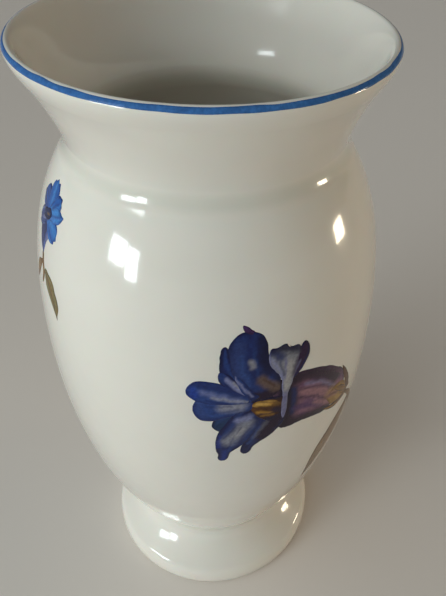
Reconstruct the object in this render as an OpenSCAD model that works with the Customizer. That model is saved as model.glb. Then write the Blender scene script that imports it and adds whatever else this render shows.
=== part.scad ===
// Porcelain pedestal vase: a luted foot, an egg-shaped body and a flared neck with a
// rolled lip, a painted rim line, and flower transfers fired on top of the glaze.
// Millimetres, +Z up. The origin is the centre of the plane that the vase stands on.

/* [Overall] */
// Height from the standing plane to the crest of the lip
vase_h = 250; // [240:1:260]
// Thickness of the porcelain wall
wall = 3.6; // [3:0.1:4.2]

/* [Foot] */
// Diameter of the foot at its rounded edge
foot_d = 99; // [96:1:104]
// Height at which the rounded edge is widest
foot_edge_z = 4.8; // [4:0.1:5.5]
// Height at which the rounded edge turns into the hollow curve
foot_roll_z = 11.5; // [10:0.5:13]
// Height of the foot up to its joint with the body
foot_h = 28; // [26:1:30]
// Diameter of the waist, where the foot meets the body
waist_d = 73; // [70:1:76]

/* [Body] */
// Largest diameter of the body
belly_d = 128; // [124:1:132]
// Height of the largest diameter
belly_z = 142; // [138:1:146]
// How quickly the lower half narrows: half height of its ellipse
lower_reach = 138; // [135:1:142]
// Height of the fold between the shoulder and the neck
fold_z = 216; // [214:1:219]
// Diameter of the fold between the shoulder and the neck
fold_d = 93; // [90:1:96]
// Thickness of the body's floor
floor_t = 6; // [5:0.5:8]

/* [Neck and lip] */
// Largest diameter of the rolled lip
lip_d = 117.6; // [115:0.2:120]
// Diameter of the crest that runs round the top of the lip
crest_d = 114.4; // [112:0.2:115]
// Width of the blue line, measured along the lip's bevel
line_w = 2.0; // [1.5:0.1:2.5]

/* [Decoration] */
// Thickness of the painted line and of the transfers
enamel_t = 0.2; // [0.15:0.05:0.3]
// Direction of the bellflower's tube end, from the front towards the right, in degrees
bellflower_turn = 25; // [15:1:35]
// Direction of the small flower, from the front towards the left, in degrees
sprig_turn = 64; // [55:1:75]
// Direction of the small flower on the back, from the front towards the right
back_sprig_turn = 172; // [160:1:185]

/* [Hidden] */
$fn = 72;

glaze_colour = "#e9e6dc";
bisque_colour = "#d9d3c6";
line_colour = "#35579b";
petal_colour = "#27377f";
small_petal_colour = "#3a67bd";
leaf_colour = "#77683a";

slip_t = 1;
slip_bulge = 0.8;
body_z = foot_h + slip_t;
neck_z = fold_z + slip_t;
belly_r = belly_d / 2;
fold_r = fold_d / 2;
waist_r = waist_d / 2;
foot_r = foot_d / 2;
lip_r = lip_d / 2;
crest_r = crest_d / 2;
lip_z = vase_h - 2;
ring_w = 5;
ring_r = foot_r - 1;

// ---------- curves ----------

function bezier(p, t) =
    pow(1 - t, 3) * p[0] + 3 * pow(1 - t, 2) * t * p[1]
    + 3 * (1 - t) * t * t * p[2] + pow(t, 3) * p[3];

// Points of a cubic curve, from just after its start to its end
function curve(p, steps) = [for (i = [1 : steps]) bezier(p, i / steps)];

function backwards(points) = [for (i = [len(points) - 1 : -1 : 0]) points[i]];

function shifted(points, dr) = [for (p = points) [p[0] + dr, p[1]]];

function between(points, low, high) = [for (p = points) if (p[1] >= low && p[1] <= high) p];

// ---------- profiles, as [radius, height] ----------

function lower_body_r(z) = belly_r * sqrt(1 - pow((belly_z - z) / lower_reach, 2));

lower_steps = 16;
shoulder_steps = 14;
body_profile = concat(
    [for (i = [0 : lower_steps])
        let (z = body_z + (belly_z - body_z) * i / lower_steps) [lower_body_r(z), z]],
    curve([[belly_r, belly_z], [belly_r, belly_z + 38], [fold_r + 11.4, fold_z - 16],
           [fold_r, fold_z]], shoulder_steps));

neck_profile = concat(
    [[fold_r, neck_z]],
    curve([[fold_r, neck_z], [fold_r - 0.2, neck_z + 6], [fold_r + 4, lip_z - 17],
           [fold_r + 7.2, lip_z - 10]], 8),
    curve([[fold_r + 7.2, lip_z - 10], [fold_r + 9.2, lip_z - 7.2], [lip_r, lip_z - 2.4],
           [lip_r, lip_z]], 7));

// The bevel that carries the blue line, then the crest
bevel_low = [lip_r - 0.1, lip_z + 0.6];
bevel_high = [lip_r - 0.1 - line_w * 0.7, lip_z + 0.6 + line_w * 0.6];

function wall_inside(z) = lookup(z, [for (p = body_profile) [p[1], p[0]]]) - wall;

// ---------- porcelain ----------

module revolved(points) {
    rotate_extrude() polygon(points);
}

module foot() {
    recess_top = foot_h - 5;
    color(glaze_colour) revolved(concat(
        [[ring_r - ring_w, 0], [ring_r - 0.6, 0], [ring_r, 0.3]],
        curve([[ring_r, 0.3], [foot_r - 0.2, 1.2], [foot_r, 3], [foot_r, foot_edge_z]], 5),
        curve([[foot_r, foot_edge_z], [foot_r, foot_edge_z + 3.4],
               [foot_r - 1.2, foot_roll_z - 1], [foot_r - 2.5, foot_roll_z]], 5),
        curve([[foot_r - 2.5, foot_roll_z], [foot_r - 6.8, foot_roll_z + 4.2],
               [waist_r, foot_h - 8], [waist_r, foot_h]], 12),
        [[waist_r - 6, foot_h], [waist_r - 6, recess_top]],
        curve([[waist_r - 6, recess_top], [waist_r - 6, 13], [ring_r - ring_w, 12],
               [ring_r - ring_w, 4]], 6)));
}

module slip_ring(radius, width, low) {
    color(glaze_colour) revolved(concat(
        [[radius - width, low], [radius, low]],
        curve([[radius, low], [radius + slip_bulge, low + slip_t * 0.2],
               [radius + slip_bulge, low + slip_t * 0.8], [radius, low + slip_t]], 4),
        [[radius - width, low + slip_t]]));
}

module foot_slip_joint() {
    slip_ring(waist_r, 6, foot_h);
}

module neck_slip_joint() {
    slip_ring(fold_r, wall, fold_z);
}

module body() {
    floor_z = body_z + floor_t;
    corner_z = floor_z + 14;
    inside = between(shifted(body_profile, -wall), corner_z + 3, fold_z - 1);
    color(glaze_colour) revolved(concat(
        [[0, body_z]],
        body_profile,
        [[fold_r - wall, fold_z]],
        backwards(inside),
        curve([[wall_inside(corner_z), corner_z], [wall_inside(corner_z) - 3, corner_z - 9],
               [wall_inside(corner_z) - 12, floor_z], [16, floor_z]], 6),
        [[0, floor_z]]));
}

module neck() {
    inner_edge = [crest_r - 0.9, vase_h];
    color(glaze_colour) revolved(concat(
        neck_profile,
        [bevel_low, bevel_high, [crest_r, vase_h], inner_edge],
        curve([inner_edge, [crest_r - 3, vase_h - 0.6], [fold_r + 7, lip_z - 7],
               [fold_r + 4, lip_z - 11]], 6),
        curve([[fold_r + 4, lip_z - 11], [fold_r + 0.5, lip_z - 18],
               [fold_r - wall, neck_z + 7], [fold_r - wall, neck_z]], 6)));
}

module rim_line() {
    out = enamel_t * 0.7;
    color(line_colour) revolved([bevel_low, bevel_low + [out, out],
                                 bevel_high + [out, out], bevel_high]);
}

// ---------- transfers ----------
// Outlines are drawn flat, as [sideways, height], on the plane that touches the vase in
// the transfer's direction, and are then carried back onto the glaze.

// Half width of a petal of width 1 along its length: narrow at the base, 0 at the tip.
// A lean above 1 moves the widest place towards the tip.
function petal_half_w(t, lean) = 0.12 * (1 - t) + 0.45 * pow(sin(180 * pow(t, lean)), 0.7);

module petal(base, tip, width, lean = 2, steps = 8) {
    along = tip - base;
    side = [-along[1], along[0]] / norm(along);
    half = [for (i = [0 : steps]) width * petal_half_w(i / steps, lean)];
    left = [for (i = [0 : steps]) base + along * (i / steps) + side * half[i]];
    right = [for (i = [0 : steps - 1]) base + along * (i / steps) - side * half[i]];
    polygon(concat(left, backwards(right)));
}

// A stem of even width along a cubic curve
module stem(p, width, steps = 8) {
    path = concat([p[0]], curve(p, steps));
    ahead = [for (i = [0 : steps]) path[min(i + 1, steps)] - path[max(i - 1, 0)]];
    side = [for (a = ahead) [-a[1], a[0]] / norm(a) * width / 2];
    left = [for (i = [0 : steps]) path[i] + side[i]];
    right = [for (i = [0 : steps]) path[i] - side[i]];
    polygon(concat(left, backwards(right)));
}

module on_body(turn, low, high) {
    skin = between(body_profile, low, high);
    intersection() {
        revolved(concat(skin, backwards(shifted(skin, enamel_t))));
        rotate([0, 0, turn]) rotate([90, 0, 0]) linear_extrude(belly_d) children();
    }
}

// Each petal is [tip, width]; all of them start at the throat
throat = [-10.5, 148];
throat_petals = [
    [[-16.6, 181], 14.5], [[-25, 167], 7], [[-34, 158], 10], [[-31, 144], 9.5],
    [[-24.5, 120.5], 9.5], [[-16, 123], 9]];
fan_base = [-3, 149];
fan_petals = [[[-6.5, 172], 8.5], [[5, 170.5], 8.5]];

module blossom_outline() {
    tube_top = curve([[-10, 149], [2, 163], [14, 155], [24, 140]], 8);
    tube_low = curve([[21, 125], [8, 133.5], [-6, 133], [-14, 127]], 8);
    for (p = throat_petals) petal(throat, p[0], p[1]);
    for (p = fan_petals) petal(fan_base, p[0], p[1]);
    polygon(concat([throat], tube_top, tube_low));
}

module stem_outline() {
    petal([16, 133], [33, 123], 13, lean = 1);
    petal([25, 128], [23.6, 148], 4, lean = 1);
    stem([[29, 126], [34, 119], [37.5, 108], [39, 88]], 2.6);
    petal([34, 117], [14.8, 79], 11, lean = 1.2);
    petal([38, 100], [47, 74], 8, lean = 1.2);
}

module bellflower_blossom() {
    color(petal_colour) on_body(bellflower_turn, 112, 190) blossom_outline();
}

module bellflower_stem_and_leaves() {
    color(leaf_colour) on_body(bellflower_turn, 65, 160)
        difference() {
            stem_outline();
            blossom_outline();
        }
}

// The open small flower is a ring of rounded lobes; a closed bud hangs just under it
small_r = 9.3;
small_lobes = 6;
small_centre = [0.7, 200];

function lobed_r(a) = small_r * (0.7 + 0.3 * pow(abs(cos(small_lobes / 2 * a)), 0.7));

module small_flower_outline() {
    translate(small_centre)
        polygon([for (i = [0 : 47]) let (a = i * 7.5 + 4) lobed_r(a) * [cos(a), sin(a)]]);
    petal([-0.3, 190], [-2.2, 183], 6, lean = 1);
}

module small_stem_outline() {
    stem([[-2, 186], [-4, 182], [-4, 178], [-2, 174]], 2.4);
    petal([-3, 181], [11, 165.5], 5.5, lean = 1.2);
}

module small_flower(turn) {
    color(small_petal_colour) on_body(turn, 176, 215) small_flower_outline();
}

module small_stem(turn) {
    color(leaf_colour) on_body(turn, 158, 195)
        difference() {
            small_stem_outline();
            small_flower_outline();
        }
}

module side_flower() {
    small_flower(-sprig_turn);
}

module side_flower_stem() {
    small_stem(-sprig_turn);
}

module back_flower() {
    small_flower(back_sprig_turn);
}

module back_flower_stem() {
    small_stem(back_sprig_turn);
}

foot();
foot_slip_joint();
body();
neck_slip_joint();
neck();
rim_line();
bellflower_blossom();
bellflower_stem_and_leaves();
side_flower();
side_flower_stem();
back_flower();
back_flower_stem();
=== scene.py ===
"""Looks of a footed porcelain vase with a blue rim line and flower transfers.

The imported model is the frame. Lengths in the classes are millimetres, and are turned to
metres only where a mesh is made. Places on the vase are given as (along, height): along is
the distance round the belly from the front, positive to the right, and height is above the
standing plane.
"""

import logging
import math
from dataclasses import dataclass, field, replace
from enum import Enum
from functools import partial
from typing import Sequence

import bpy
import numpy as np
from mathutils import Matrix, Vector


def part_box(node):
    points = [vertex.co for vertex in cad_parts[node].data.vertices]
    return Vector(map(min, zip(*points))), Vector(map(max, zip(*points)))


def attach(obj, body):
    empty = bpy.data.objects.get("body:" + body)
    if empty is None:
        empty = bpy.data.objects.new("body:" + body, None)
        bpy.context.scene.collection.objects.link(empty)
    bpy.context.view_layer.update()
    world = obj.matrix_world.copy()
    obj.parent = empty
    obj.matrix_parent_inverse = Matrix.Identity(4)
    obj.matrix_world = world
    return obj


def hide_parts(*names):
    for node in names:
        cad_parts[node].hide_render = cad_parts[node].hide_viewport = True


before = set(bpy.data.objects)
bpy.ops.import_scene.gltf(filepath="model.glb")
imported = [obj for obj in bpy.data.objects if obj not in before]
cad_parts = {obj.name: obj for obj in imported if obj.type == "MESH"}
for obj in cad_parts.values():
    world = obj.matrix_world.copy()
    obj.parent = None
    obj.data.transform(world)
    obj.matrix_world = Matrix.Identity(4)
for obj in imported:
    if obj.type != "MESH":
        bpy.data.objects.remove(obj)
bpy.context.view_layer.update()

Place = tuple[float, float]

LOG = logging.getLogger("vase")
MM = 0.001
ROOT = "root"
PAINT = "paint"
TINY = 1e-9
SHARP_EDGE = 50  # degrees; sharper folds, such as a cut edge, aren't smooth shaded
COOL_DAY = (0.87, 0.97, 1.0)
WARM_DAY = (1.0, 0.85, 0.62)


# ---------- colours and numbers ----------


class Hue(Enum):
    """Glaze, clay and enamel colours, as sRGB hex."""

    CREAM_GLAZE = "#ece6da"
    POOLED_GLAZE = "#dbd9cb"
    THIN_GLAZE = "#f3ede1"
    BISQUE = "#dcd3c2"
    BISQUE_SHADE = "#b9ad98"
    BAND = "#3f71ae"
    BAND_DEEP = "#315891"
    NAVY = "#18255a"
    INK = "#100f33"
    COBALT = "#253f7b"
    SKY = "#4f6fb4"
    DENIM = "#34508c"
    BLUE_TIP = "#1b3489"
    SLATE = "#324276"
    DUSK = "#6f6d96"
    LAVENDER = "#8487ad"
    PEARL = "#a7a3a3"
    STONE = "#8b8b93"
    TAUPE = "#6b5548"
    TEAL_NAVY = "#173054"
    PLUM = "#2d1539"
    DEEP_PLUM = "#220d26"
    VIOLET = "#4a2f62"
    MAUVE = "#8a5f76"
    ROSE = "#a1757c"
    UMBER = "#42230e"
    BROWN = "#5c3717"
    OCHRE = "#b5842f"
    STRAW = "#d3a95c"
    OLIVE = "#a5803a"
    LEAF = "#7d5720"
    LEAF_DARK = "#4d3416"
    SAGE = "#78704a"
    BRIGHT_BLUE = "#235aa4"
    CLEAR_BLUE = "#3f82c6"
    EYE_BLUE = "#152a55"
    FLOOR = "#ece3da"


def linear(hue: Hue) -> np.ndarray:
    """Linear RGB of a colour.

    Args:
        hue: The named colour.

    Returns:
        Three linear values from 0 to 1.
    """
    text = hue.value.lstrip("#")
    srgb = np.array([int(text[i:i + 2], 16) for i in (0, 2, 4)]) / 255
    return np.where(srgb <= 0.04045, srgb / 12.92, ((srgb + 0.055) / 1.055) ** 2.4)


def rgba(hue: Hue) -> tuple[float, float, float, float]:
    """Linear RGBA of a colour, for a shader socket."""
    return (*(float(v) for v in linear(hue)), 1.0)


def smooth(low: float, high: float, value: np.ndarray) -> np.ndarray:
    """Smooth step: 0 below low, 1 above high, and a cubic ease between them."""
    t = np.clip((value - low) / (high - low), 0.0, 1.0)
    return t * t * (3.0 - 2.0 * t)


def through(points: Sequence, at: np.ndarray) -> np.ndarray:
    """A curve through evenly spaced points, by Catmull-Rom cubics with doubled ends.

    Args:
        points: Two or more values, or places, for parameters from 0 to 1.
        at: Parameters from 0 to 1, any shape.

    Returns:
        The curve's values: the shape of at, plus the points' own last axis if any.
    """
    p = np.asarray(points, float)
    p = np.concatenate([2 * p[:1] - p[1:2], p, 2 * p[-1:] - p[-2:-1]])
    x = np.clip(at, 0.0, 1.0) * (len(p) - 3)
    i = np.minimum(x.astype(int), len(p) - 4)
    t = x - i
    if p.ndim > 1:
        t = t[..., None]
    a, b, c, d = p[i], p[i + 1], p[i + 2], p[i + 3]
    return b + 0.5 * t * (c - a + t * (2 * a - 5 * b + 4 * c - d + t * (3 * (b - c) + d - a)))


def bezier(points: Sequence[Place], steps: int) -> np.ndarray:
    """Places along a cubic curve, from its first control point to its last.

    Args:
        points: Four control points.
        steps: Number of places.

    Returns:
        Array of steps places.
    """
    p = np.asarray(points, float)
    t = np.linspace(0.0, 1.0, steps)[:, None]
    return ((1 - t) ** 3 * p[0] + 3 * (1 - t) ** 2 * t * p[1]
            + 3 * (1 - t) * t * t * p[2] + t ** 3 * p[3])


def resampled(path: np.ndarray, step: float) -> np.ndarray:
    """The same path with evenly spaced points.

    Args:
        path: Places in order, repeated ones allowed.
        step: Wanted spacing.

    Returns:
        New places, with the same ends.
    """
    run = np.r_[0.0, np.cumsum(np.hypot(*np.diff(path, axis=0).T))]
    new = np.linspace(0.0, run[-1], max(2, round(run[-1] / step) + 1))
    return np.stack([np.interp(new, run, path[:, k]) for k in range(2)], axis=1)


def grain(seed: int, x: np.ndarray, y: np.ndarray, octaves: int = 2) -> np.ndarray:
    """Smooth value noise from 0 to 1: random lattice values, eased between neighbours.

    Args:
        seed: Seed of the random lattice.
        x: First coordinate, one lattice cell per unit.
        y: Second coordinate, of the same shape.
        octaves: Number of layers, each twice as fine and half as strong.

    Returns:
        Noise of the coordinates' shape.
    """
    size = 64
    total = np.zeros(np.broadcast(x, y).shape)
    weight = 0.0
    for octave in range(octaves):
        lattice = np.random.default_rng(seed + octave).random((size, size))
        gx, gy = x * 2 ** octave + 17.3 * octave, y * 2 ** octave + 5.1 * octave
        ix, iy = np.floor(gx).astype(int), np.floor(gy).astype(int)
        fx, fy = smooth(0, 1, gx - ix), smooth(0, 1, gy - iy)
        near = lattice[ix % size, iy % size] * (1 - fx) + lattice[(ix + 1) % size, iy % size] * fx
        far = (lattice[ix % size, (iy + 1) % size] * (1 - fx)
               + lattice[(ix + 1) % size, (iy + 1) % size] * fx)
        total += (near * (1 - fy) + far * fy) / 2 ** octave
        weight += 1 / 2 ** octave
    return total / weight


# ---------- materials ----------


class Shader:
    """A material's node tree, with one helper that adds a node."""

    def __init__(self, name: str) -> None:
        """Starts an empty tree for a material of that name."""
        self.material = bpy.data.materials.new(name)
        self.material.use_nodes = True
        self.tree = self.material.node_tree
        self.tree.nodes.clear()

    def add(self, kind: str, settings: dict | None = None, **inputs) -> bpy.types.Node:
        """Adds a node.

        Args:
            kind: Blender's node type.
            settings: Node properties to set.
            **inputs: Socket values or links, by socket name with _ for a space, or i0, i1
                for a socket's number.

        Returns:
            The new node.
        """
        node = self.tree.nodes.new(kind)
        for key, value in (settings or {}).items():
            setattr(node, key, value)
        for key, value in inputs.items():
            socket = node.inputs[int(key[1:]) if key[1:].isdigit() else key.replace("_", " ")]
            if isinstance(value, bpy.types.NodeSocket):
                self.tree.links.new(value, socket)
            else:
                socket.default_value = value
        return node

    def finish(self, surface: bpy.types.Node) -> bpy.types.Material:
        """Links the surface shader to the output and returns the material."""
        self.add("ShaderNodeOutputMaterial", Surface=surface.outputs[0])
        return self.material


@dataclass(frozen=True)
class PorcelainGlaze:
    """Feldspathic glaze over white porcelain: creamy, deep gloss, a touch of softness.

    The glaze is thinner and paler in slow patches, and pools a little greyer and greener in
    the two folds. Its surface rolls very slightly, which bends long reflections.
    """

    pool_heights: tuple[float, float]
    pool_mm: tuple[float, float] = (0.3, 4.0)
    pool_strength: float = 0.6
    mottle_mm: float = 22.0
    peel_mm: float = 5.0
    roughness: float = 0.13
    ior: float = 1.5

    def material(self) -> bpy.types.Material:
        """Builds the material and returns it."""
        s = Shader("porcelain_glaze")
        place = s.add("ShaderNodeTexCoord").outputs["Object"]
        height = s.add("ShaderNodeSeparateXYZ", Vector=place).outputs["Z"]
        mottle = s.add("ShaderNodeTexNoise", Vector=place, Scale=1 / (self.mottle_mm * MM),
                       Detail=2.0).outputs["Fac"]
        colour = s.add("ShaderNodeMix", {"data_type": "RGBA"}, i0=mottle, i6=rgba(Hue.CREAM_GLAZE),
                       i7=rgba(Hue.THIN_GLAZE)).outputs[2]
        for pool in self.pool_heights:
            away = s.add("ShaderNodeMath", {"operation": "SUBTRACT"}, i0=height, i1=pool * MM)
            away = s.add("ShaderNodeMath", {"operation": "ABSOLUTE"}, i0=away.outputs[0])
            amount = s.add("ShaderNodeMapRange", {"interpolation_type": "SMOOTHSTEP"},
                           Value=away.outputs[0], i1=self.pool_mm[0] * MM,
                           i2=self.pool_mm[1] * MM, i3=self.pool_strength, i4=0.0)
            colour = s.add("ShaderNodeMix", {"data_type": "RGBA"}, i0=amount.outputs[0], i6=colour,
                           i7=rgba(Hue.POOLED_GLAZE)).outputs[2]
        peel = s.add("ShaderNodeTexNoise", Vector=place, Scale=1 / (self.peel_mm * MM), Detail=1.0)
        bump = s.add("ShaderNodeBump", Strength=0.12, Distance=0.0002, Height=peel.outputs["Fac"])
        shader = s.add("ShaderNodeBsdfPrincipled", Base_Color=colour, Roughness=self.roughness,
                       IOR=self.ior, Normal=bump.outputs[0], Coat_Weight=0.6, Coat_Roughness=0.03,
                       Coat_IOR=1.5, Subsurface_Weight=0.12, Subsurface_Scale=0.0015)
        return s.finish(shader)


@dataclass(frozen=True)
class Bisque:
    """Unglazed porcelain of the standing ring: dry, matt, faintly grey where it has rubbed."""

    rub_mm: float = 3.0
    roughness: float = 0.75
    ior: float = 1.5

    def material(self) -> bpy.types.Material:
        """Builds the material and returns it."""
        s = Shader("bisque_ring")
        place = s.add("ShaderNodeTexCoord").outputs["Object"]
        rub = s.add("ShaderNodeTexNoise", Vector=place, Scale=1 / (self.rub_mm * MM), Detail=4.0)
        shade = s.add("ShaderNodeMapRange", Value=rub.outputs["Fac"], i1=0.45, i2=0.75)
        colour = s.add("ShaderNodeMix", {"data_type": "RGBA"}, i0=shade.outputs[0],
                       i6=rgba(Hue.BISQUE), i7=rgba(Hue.BISQUE_SHADE)).outputs[2]
        bump = s.add("ShaderNodeBump", Strength=0.3, Distance=0.0001, Height=rub.outputs["Fac"])
        shader = s.add("ShaderNodeBsdfPrincipled", Base_Color=colour, Roughness=self.roughness,
                       IOR=self.ior, Normal=bump.outputs[0])
        return s.finish(shader)


@dataclass(frozen=True)
class Enamel:
    """On-glaze enamel, printed or banded and fired: painted colour with a fine uneven film.

    The paint attribute holds the picture. Pigment gathers in specks about mottle_mm across,
    drawn a little coarser than real printing grain so that it shows.
    """

    name: str
    mottle_mm: float = 0.9
    mottle_strength: float = 0.18
    roughness: float = 0.16
    ior: float = 1.5
    film_gloss: float = 0.28

    def material(self) -> bpy.types.Material:
        """Builds the material and returns it."""
        s = Shader(self.name)
        place = s.add("ShaderNodeTexCoord").outputs["Object"]
        paint = s.add("ShaderNodeAttribute", {"attribute_name": PAINT}).outputs["Color"]
        speck = s.add("ShaderNodeTexNoise", Vector=place, Scale=1 / (self.mottle_mm * MM), Detail=3.0)
        tone = s.add("ShaderNodeMapRange", Value=speck.outputs["Fac"], i1=0.3, i2=0.7,
                     i3=1 - self.mottle_strength, i4=1 + self.mottle_strength)
        colour = s.add("ShaderNodeVectorMath", {"operation": "SCALE"}, i0=paint,
                       Scale=tone.outputs[0]).outputs[0]
        shader = s.add("ShaderNodeBsdfPrincipled", Base_Color=colour, Roughness=self.roughness,
                       IOR=self.ior, Specular_IOR_Level=self.film_gloss)
        return s.finish(shader)


# ---------- meshes ----------


def closed_mesh(name: str, grid: np.ndarray, poles: bool,
                paint: np.ndarray | None = None) -> bpy.types.Object:
    """Makes a closed surface from a grid of places.

    Columns always close on themselves. Rows either close on themselves too, or run from one
    pole to the other. Each face joins a place, its next column and their next row.

    Args:
        name: The piece's name.
        grid: Places in millimetres, rows by columns by 3. With poles, the first and last row
            hold one repeated place.
        poles: True if the rows run between poles.
        paint: Linear RGB colours, rows by columns by 3.

    Returns:
        The new object, at the origin, smooth shaded, linked to the scene.
    """
    rows, columns = grid.shape[:2]
    if poles:
        keep = np.r_[0, columns:columns * (rows - 1), columns * (rows - 1)]
        index = np.empty((rows, columns), int)
        index[0], index[-1] = 0, columns * (rows - 2) + 1
        index[1:-1] = 1 + np.arange(columns * (rows - 2)).reshape(rows - 2, columns)
    else:
        keep = np.arange(rows * columns)
        index = np.arange(rows * columns).reshape(rows, columns)
        index = np.concatenate([index, index[:1]])
    right = np.roll(index, -1, axis=1)
    quads = np.stack([index[:-1], right[:-1], right[1:], index[1:]], axis=-1)
    if poles:
        faces = (quads[0][:, [0, 2, 3]].tolist() + quads[1:-1].reshape(-1, 4).tolist()
                 + quads[-1][:, [0, 1, 2]].tolist())
    else:
        faces = quads.reshape(-1, 4).tolist()
    mesh = bpy.data.meshes.new(name)
    mesh.from_pydata((grid.reshape(-1, 3)[keep] * MM).tolist(), [], faces)
    mesh.shade_smooth()
    mesh.set_sharp_from_angle(angle=math.radians(SHARP_EDGE))
    if paint is not None:
        colours = np.concatenate([paint, np.ones(paint.shape[:2] + (1,))], axis=-1)
        layer = mesh.color_attributes.new(PAINT, "FLOAT_COLOR", "POINT")
        layer.data.foreach_set("color", colours.reshape(-1, 4)[keep].astype(np.float32).ravel())
    piece = bpy.data.objects.new(name, mesh)
    bpy.context.scene.collection.objects.link(piece)
    return piece


def dressed(piece: bpy.types.Object, slot: str, nodes: Sequence[str],
            *materials: bpy.types.Material) -> bpy.types.Object:
    """Gives a piece its materials and its body, and hides the CAD nodes it stands for.

    Args:
        piece: The piece.
        slot: Record material slot; not used.
        nodes: CAD nodes that the piece replaces.
        *materials: Materials in slot order.

    Returns:
        The piece.
    """
    for material in materials:
        piece.data.materials.append(material)
    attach(piece, ROOT)
    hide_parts(*nodes)
    LOG.info("%s: %d faces", piece.name, len(piece.data.polygons))
    return piece


# ---------- the vase's outline ----------


def rounded(path: np.ndarray, corner: int, reach: float) -> np.ndarray:
    """Rounds a fold: the stretch within reach of it becomes a quadratic curve.

    Args:
        path: Places in order.
        corner: Index of the fold.
        reach: Distance along the path on each side, in millimetres.

    Returns:
        The path with the fold rounded.
    """
    run = np.r_[0.0, np.cumsum(np.hypot(*np.diff(path, axis=0).T))]
    ends = [np.array([np.interp(run[corner] + side * reach, run, path[:, k]) for k in range(2)])
            for side in (-1, 1)]
    t = np.linspace(0, 1, 25)[:, None]
    curve = (1 - t) ** 2 * ends[0] + 2 * t * (1 - t) * path[corner] + t * t * ends[1]
    return np.concatenate([path[run < run[corner] - reach], curve, path[run > run[corner] + reach]])


def cut(path: np.ndarray, start: float, end: float) -> np.ndarray:
    """The stretch of a path between two heights, with exact ends.

    Args:
        path: Places as radius and height, rising or falling all the way.
        start: Height at which the stretch starts.
        end: Height at which it ends; below start on a falling path.

    Returns:
        The stretch, in the path's order.
    """
    rising = path if path[-1, 1] > path[0, 1] else path[::-1]
    low, high = min(start, end), max(start, end)
    ends = [[np.interp(z, rising[:, 1], rising[:, 0]), z] for z in (low, high)]
    inside = rising[(rising[:, 1] > low + 1e-6) & (rising[:, 1] < high - 1e-6)]
    part = np.concatenate([ends[:1], inside, ends[1:]])
    return part if end > start else part[::-1]


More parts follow.
